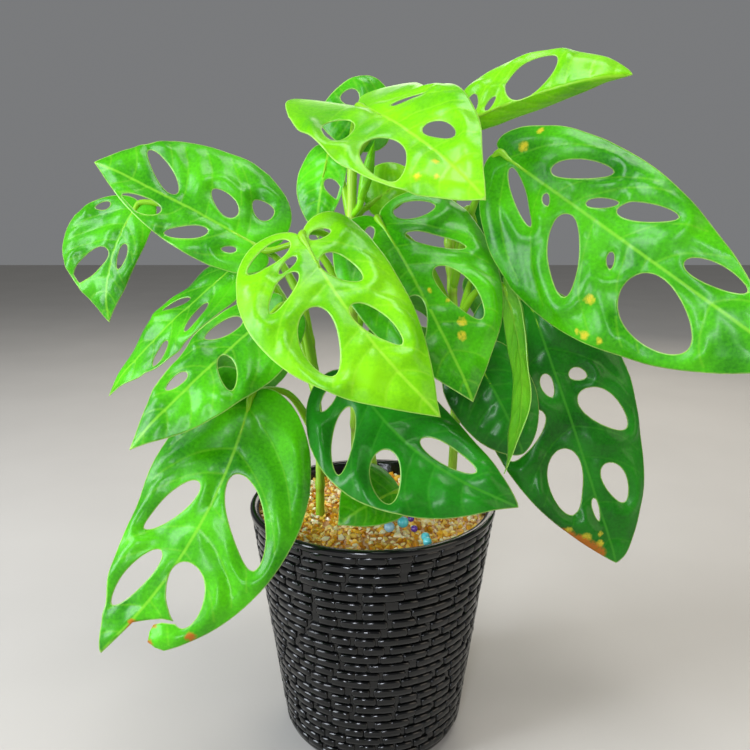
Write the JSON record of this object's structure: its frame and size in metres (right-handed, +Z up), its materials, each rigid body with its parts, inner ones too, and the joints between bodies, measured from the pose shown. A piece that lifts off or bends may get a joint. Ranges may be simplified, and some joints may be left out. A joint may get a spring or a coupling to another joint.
{
  "type": "potted swiss cheese plant",
  "caption": "Bushy swiss cheese plant with heart-shaped, holed leaves on long petioles, standing in a glossy black ribbed pot topped with golden gravel.",
  "frame": {"origin": "centre of the pot's flat base, on the surface it stands on", "axes": "+Z up along the pot's axis; the side the plant is seen from looks towards -Y; +X to that viewer's right"},
  "size_m": [0.3191, 0.1768, 0.3299],
  "materials": {
    "pot_plastic": "glossy",
    "soil": "rough crumbs",
    "gravel": "crushed, satin",
    "stem": "satin living skin",
    "leaf_light": "glossy living leaf",
    "leaf": "glossy living leaf",
    "leaf_dark": "glossy living leaf",
    "bead_turquoise": "glossy",
    "bead_blue": "glossy",
    "bead_purple": "glossy"
  },
  "bodies": {
    "root": {"bead_blue": "bead_blue", "bead_purple_back": "bead_purple", "bead_purple_front": "bead_purple", "bead_purple_mid": "bead_purple", "bead_purple_right": "bead_purple", "bead_turquoise_back": "bead_turquoise", "bead_turquoise_front": "bead_turquoise", "bead_turquoise_large": "bead_turquoise", "gravel_bed": "gravel", "leaf_back_left": "leaf", "leaf_back_mid": "leaf_light", "leaf_back_right": "leaf_dark", "leaf_centre": "leaf_light", "leaf_centre_right": "leaf", "leaf_edge_on": "leaf_light", "leaf_left_back": "leaf", "leaf_left_far": "leaf", "leaf_left_low": "leaf", "leaf_left_mid": "leaf", "leaf_left_top": "leaf", "leaf_low_centre": "leaf_dark", "leaf_low_small": "leaf", "leaf_rear_left": "leaf", "leaf_rear_low": "leaf", "leaf_rear_right": "leaf", "leaf_right_big": "leaf", "leaf_right_low": "leaf_dark", "leaf_right_small": "leaf_dark", "leaf_top_back": "leaf", "leaf_top_centre": "leaf_light", "leaf_top_right": "leaf_light", "new_leaf": "leaf_light", "pot": "pot_plastic", "soil": "soil", "stem_front": "stem", "stem_left": "stem", "stem_main": "stem", "stem_right": "stem"}
  },
  "joints": []
}
